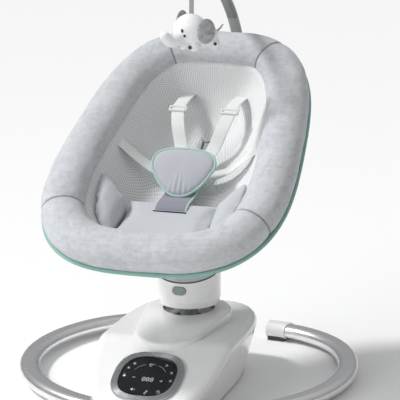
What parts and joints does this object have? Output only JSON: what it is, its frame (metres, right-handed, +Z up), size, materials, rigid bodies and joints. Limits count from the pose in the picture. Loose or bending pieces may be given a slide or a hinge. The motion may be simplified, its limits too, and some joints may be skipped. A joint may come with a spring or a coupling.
{
  "type": "baby swing",
  "caption": "Powered baby swing: padded oval recliner seat with a harness and toy bar on a short neck that sways over a C-shaped floor ring with a control housing.",
  "frame": {"origin": "on the floor, straight below the neck's axis", "axes": "+Z up, -Y towards the control panel and the foot of the seat, +X to the seat's right as seen from the front"},
  "size_m": [0.63, 0.6409, 0.7375],
  "materials": {
    "white_gloss": "gloss",
    "cap_white": "gloss",
    "ring_alu": "satin",
    "dark_rubber": "matte",
    "clamp_steel": "satin",
    "tray_plastic": "matte",
    "dish_plastic": "satin",
    "bezel_silver": "satin",
    "black_glass": "gloss",
    "board_green": "matte",
    "steel": "satin",
    "zinc": "satin",
    "acetal": "satin",
    "motor_can": "satin",
    "black_plastic": "matte",
    "post_alu": "satin",
    "collar_white": "gloss",
    "button_green": "satin",
    "hub_grey": "satin",
    "shell_grey": "satin",
    "rim_steel": "satin",
    "roll_velour": "heathered pile",
    "mint_piping": "matte",
    "liner_mesh": "air mesh",
    "cushion_knit": "smooth knit",
    "webbing": "woven",
    "slider_white": "satin",
    "sleeve_grey": "satin",
    "pad_grey": "satin",
    "buckle_white": "satin",
    "buckle_red": "satin",
    "bar_light": "satin",
    "bar_dark": "satin",
    "toy_strap": "woven",
    "toy_plush": "plush",
    "ear_plush": "plush"
  },
  "bodies": {
    "base": {"ring_tube": "ring_alu", "left_end_cap": "cap_white", "right_end_cap": "cap_white", "cap_pads": "dark_rubber", "ring_clamps": "clamp_steel", "base_tray": "tray_plastic", "foot_ring": "dark_rubber", "front_feet": "dark_rubber", "housing_shell": "white_gloss", "neck_cowl": "white_gloss", "neck_dish": "dish_plastic", "display_bezel": "bezel_silver", "display_glass": "black_glass", "control_board": "board_green", "pivot_bracket": "steel", "pivot_shaft": "steel", "shaft_clips": "zinc", "bracket_bolts": "zinc", "drive_motor": "motor_can", "motor_mount": "steel", "speaker": "black_plastic", "power_socket": "black_plastic", "shell_screws": "zinc"},
    "swing": {"swing_hub": "post_alu", "hub_bushes": "acetal", "sector_gear": "acetal", "neck_tube": "post_alu", "neck_yoke": "post_alu", "neck_collar": "collar_white", "button_spring": "zinc"},
    "pinion": {"drive_pinion": "acetal", "pinion_shaft": "steel"},
    "release": {"release_button": "button_green"},
    "seat": {"recline_pin": "steel", "recline_brackets": "steel", "recline_washers": "acetal", "seat_hub": "hub_grey", "seat_shell": "shell_grey", "rim_tube": "rim_steel", "rim_roll": "roll_velour", "rim_piping": "mint_piping", "seat_liner": "liner_mesh", "seat_cushion": "cushion_knit", "left_bolster": "cushion_knit", "right_bolster": "cushion_knit", "left_shoulder_strap": "webbing", "right_shoulder_strap": "webbing", "strap_sliders": "slider_white", "left_waist_strap": "webbing", "right_waist_strap": "webbing", "crotch_strap": "sleeve_grey", "crotch_pad": "pad_grey", "buckle_body": "buckle_white", "toy_bar_socket": "bar_light"},
    "buckle_press": {"buckle_button": "buckle_red"},
    "toy_bar": {"toy_bar_arm": "bar_dark", "toy_bar_tip": "bar_light"},
    "toy": {"toy_strap": "toy_strap", "toy_body": "toy_plush", "toy_ears": "ear_plush"}
  },
  "joints": [
    {"name": "sway", "type": "hinge", "parent": "base", "child": "swing", "pos_m": [0, 0, 0.06], "axis": [0, 1, 0], "range_deg": [-8, 8]},
    {"name": "pinion_spin", "type": "hinge", "parent": "base", "child": "pinion", "pos_m": [0.072, -0.032, 0.06], "axis": [0, 1, 0], "range_deg": [-41, 41]},
    {"name": "release_press", "type": "slide", "parent": "swing", "child": "release", "axis": [0, 1, 0], "range_m": [0, 0.003], "stiffness_N_per_m": 300, "deforming": ["button_spring"]},
    {"name": "recline", "type": "hinge", "parent": "swing", "child": "seat", "pos_m": [0, -0.02, 0.268], "axis": [1, 0, 0], "range_deg": [-6, 6]},
    {"name": "buckle_push", "type": "slide", "parent": "seat", "child": "buckle_press", "axis": [0, 0.4894, -0.8721], "range_m": [0, 0.0025], "stiffness_N_per_m": 300},
    {"name": "toy_bar_swivel", "type": "hinge", "parent": "seat", "child": "toy_bar", "pos_m": [0, 0.27635, 0.62506], "axis": [0, -0.682, 0.7314], "range_deg": [-90, 90]},
    {"name": "toy_hang", "type": "hinge", "parent": "toy_bar", "child": "toy", "pos_m": [0, 0.01773, 0.71755], "axis": [1, 0, 0], "range_deg": [-25, 25]}
  ],
  "couplings": [
    {"joint": "pinion_spin", "follows": "sway", "ratio": -5}
  ]
}
